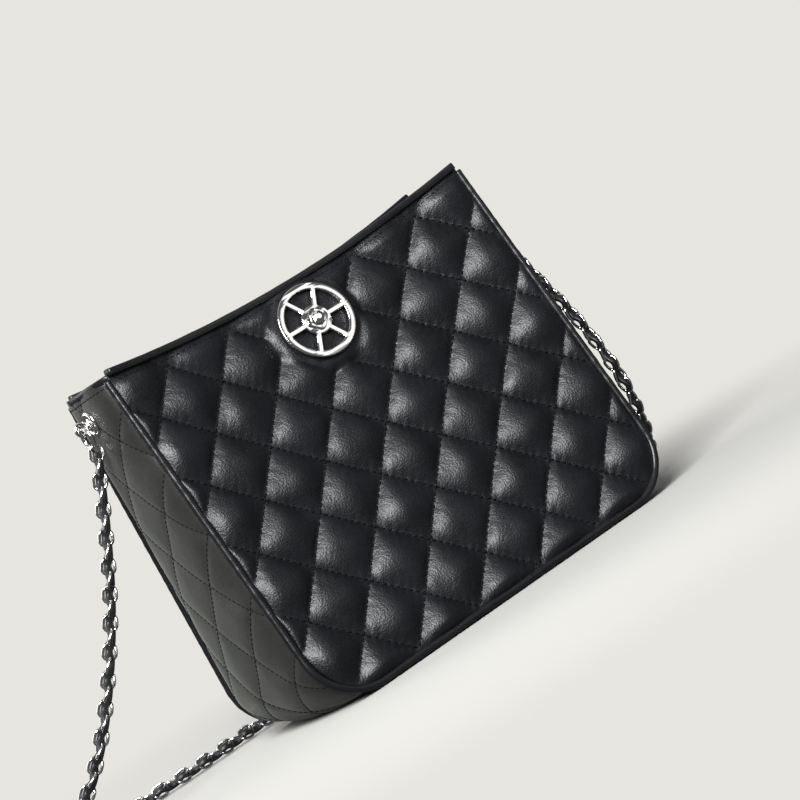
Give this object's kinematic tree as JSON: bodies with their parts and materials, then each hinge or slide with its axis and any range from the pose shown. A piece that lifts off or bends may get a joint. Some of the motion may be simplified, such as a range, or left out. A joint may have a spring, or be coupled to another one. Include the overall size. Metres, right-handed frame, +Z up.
{
  "type": "bucket bag",
  "caption": "Small upright shoulder bag: quilted padded panels on a deep stitched gusset, open dipped mouth, round pierced ornament and a chain strap laced with leather.",
  "frame": {"origin": "middle of the bag's footprint, on the surface it stands on", "axes": "+Z up, X across the bag between the two strap anchors, the front with the ornament faces -Y"},
  "size_m": [0.4296, 0.2767, 0.176],
  "materials": {
    "quilted_leather": "padded black lambskin with a fine grain and a satin sheen",
    "strip_leather": "smooth black leather, flat stitched in diamonds",
    "trim_leather": "black edge binding and piping, slightly glossy",
    "lining_cloth": "black twill lining",
    "wadding": "soft polyester wadding",
    "board": "grey board stiffener",
    "bright_metal": "polished pale silver plate",
    "snap_metal": "nickel plated magnetic snap",
    "strap_mix": "black leather thong laced through polished silver chain"
  },
  "bodies": {
    "bag": {"gusset": "strip_leather", "gusset_lining": "lining_cloth", "gusset_facing_left": "trim_leather", "gusset_facing_right": "trim_leather", "gusset_binding_left": "trim_leather", "gusset_binding_right": "trim_leather", "base_board": "board", "back_panel": "quilted_leather", "back_wadding": "wadding", "back_lining": "lining_cloth", "back_facing": "trim_leather", "back_top_binding": "trim_leather", "back_piping": "trim_leather", "snap_back": "snap_metal", "snap_washer_back": "snap_metal", "slip_pocket": "lining_cloth", "strap_anchor_left": "bright_metal", "strap_anchor_right": "bright_metal", "strap_washer_left": "bright_metal", "strap_washer_right": "bright_metal", "strap": "strap_mix"},
    "front": {"front_panel": "quilted_leather", "front_wadding": "wadding", "front_lining": "lining_cloth", "front_facing": "trim_leather", "front_top_binding": "trim_leather", "front_piping": "trim_leather", "snap_front": "snap_metal", "snap_washer_front": "snap_metal", "ornament_plate": "bright_metal", "ornament_stud": "bright_metal", "ornament_washer": "bright_metal"},
    "left_ring": {"strap_ring_left": "bright_metal"},
    "right_ring": {"strap_ring_right": "bright_metal"}
  },
  "joints": [
    {"name": "mouth_open", "type": "hinge", "parent": "bag", "child": "front", "pos_m": [0, -0.051, 0], "axis": [1, 0, 0], "range_deg": [0, 6]},
    {"name": "left_ring_swing", "type": "hinge", "parent": "bag", "child": "left_ring", "pos_m": [-0.112, 0, 0.16], "axis": [0, 1, 0], "range_deg": [0, 60]},
    {"name": "right_ring_swing", "type": "hinge", "parent": "bag", "child": "right_ring", "pos_m": [0.112, 0, 0.16], "axis": [0, -1, 0], "range_deg": [0, 60]}
  ]
}
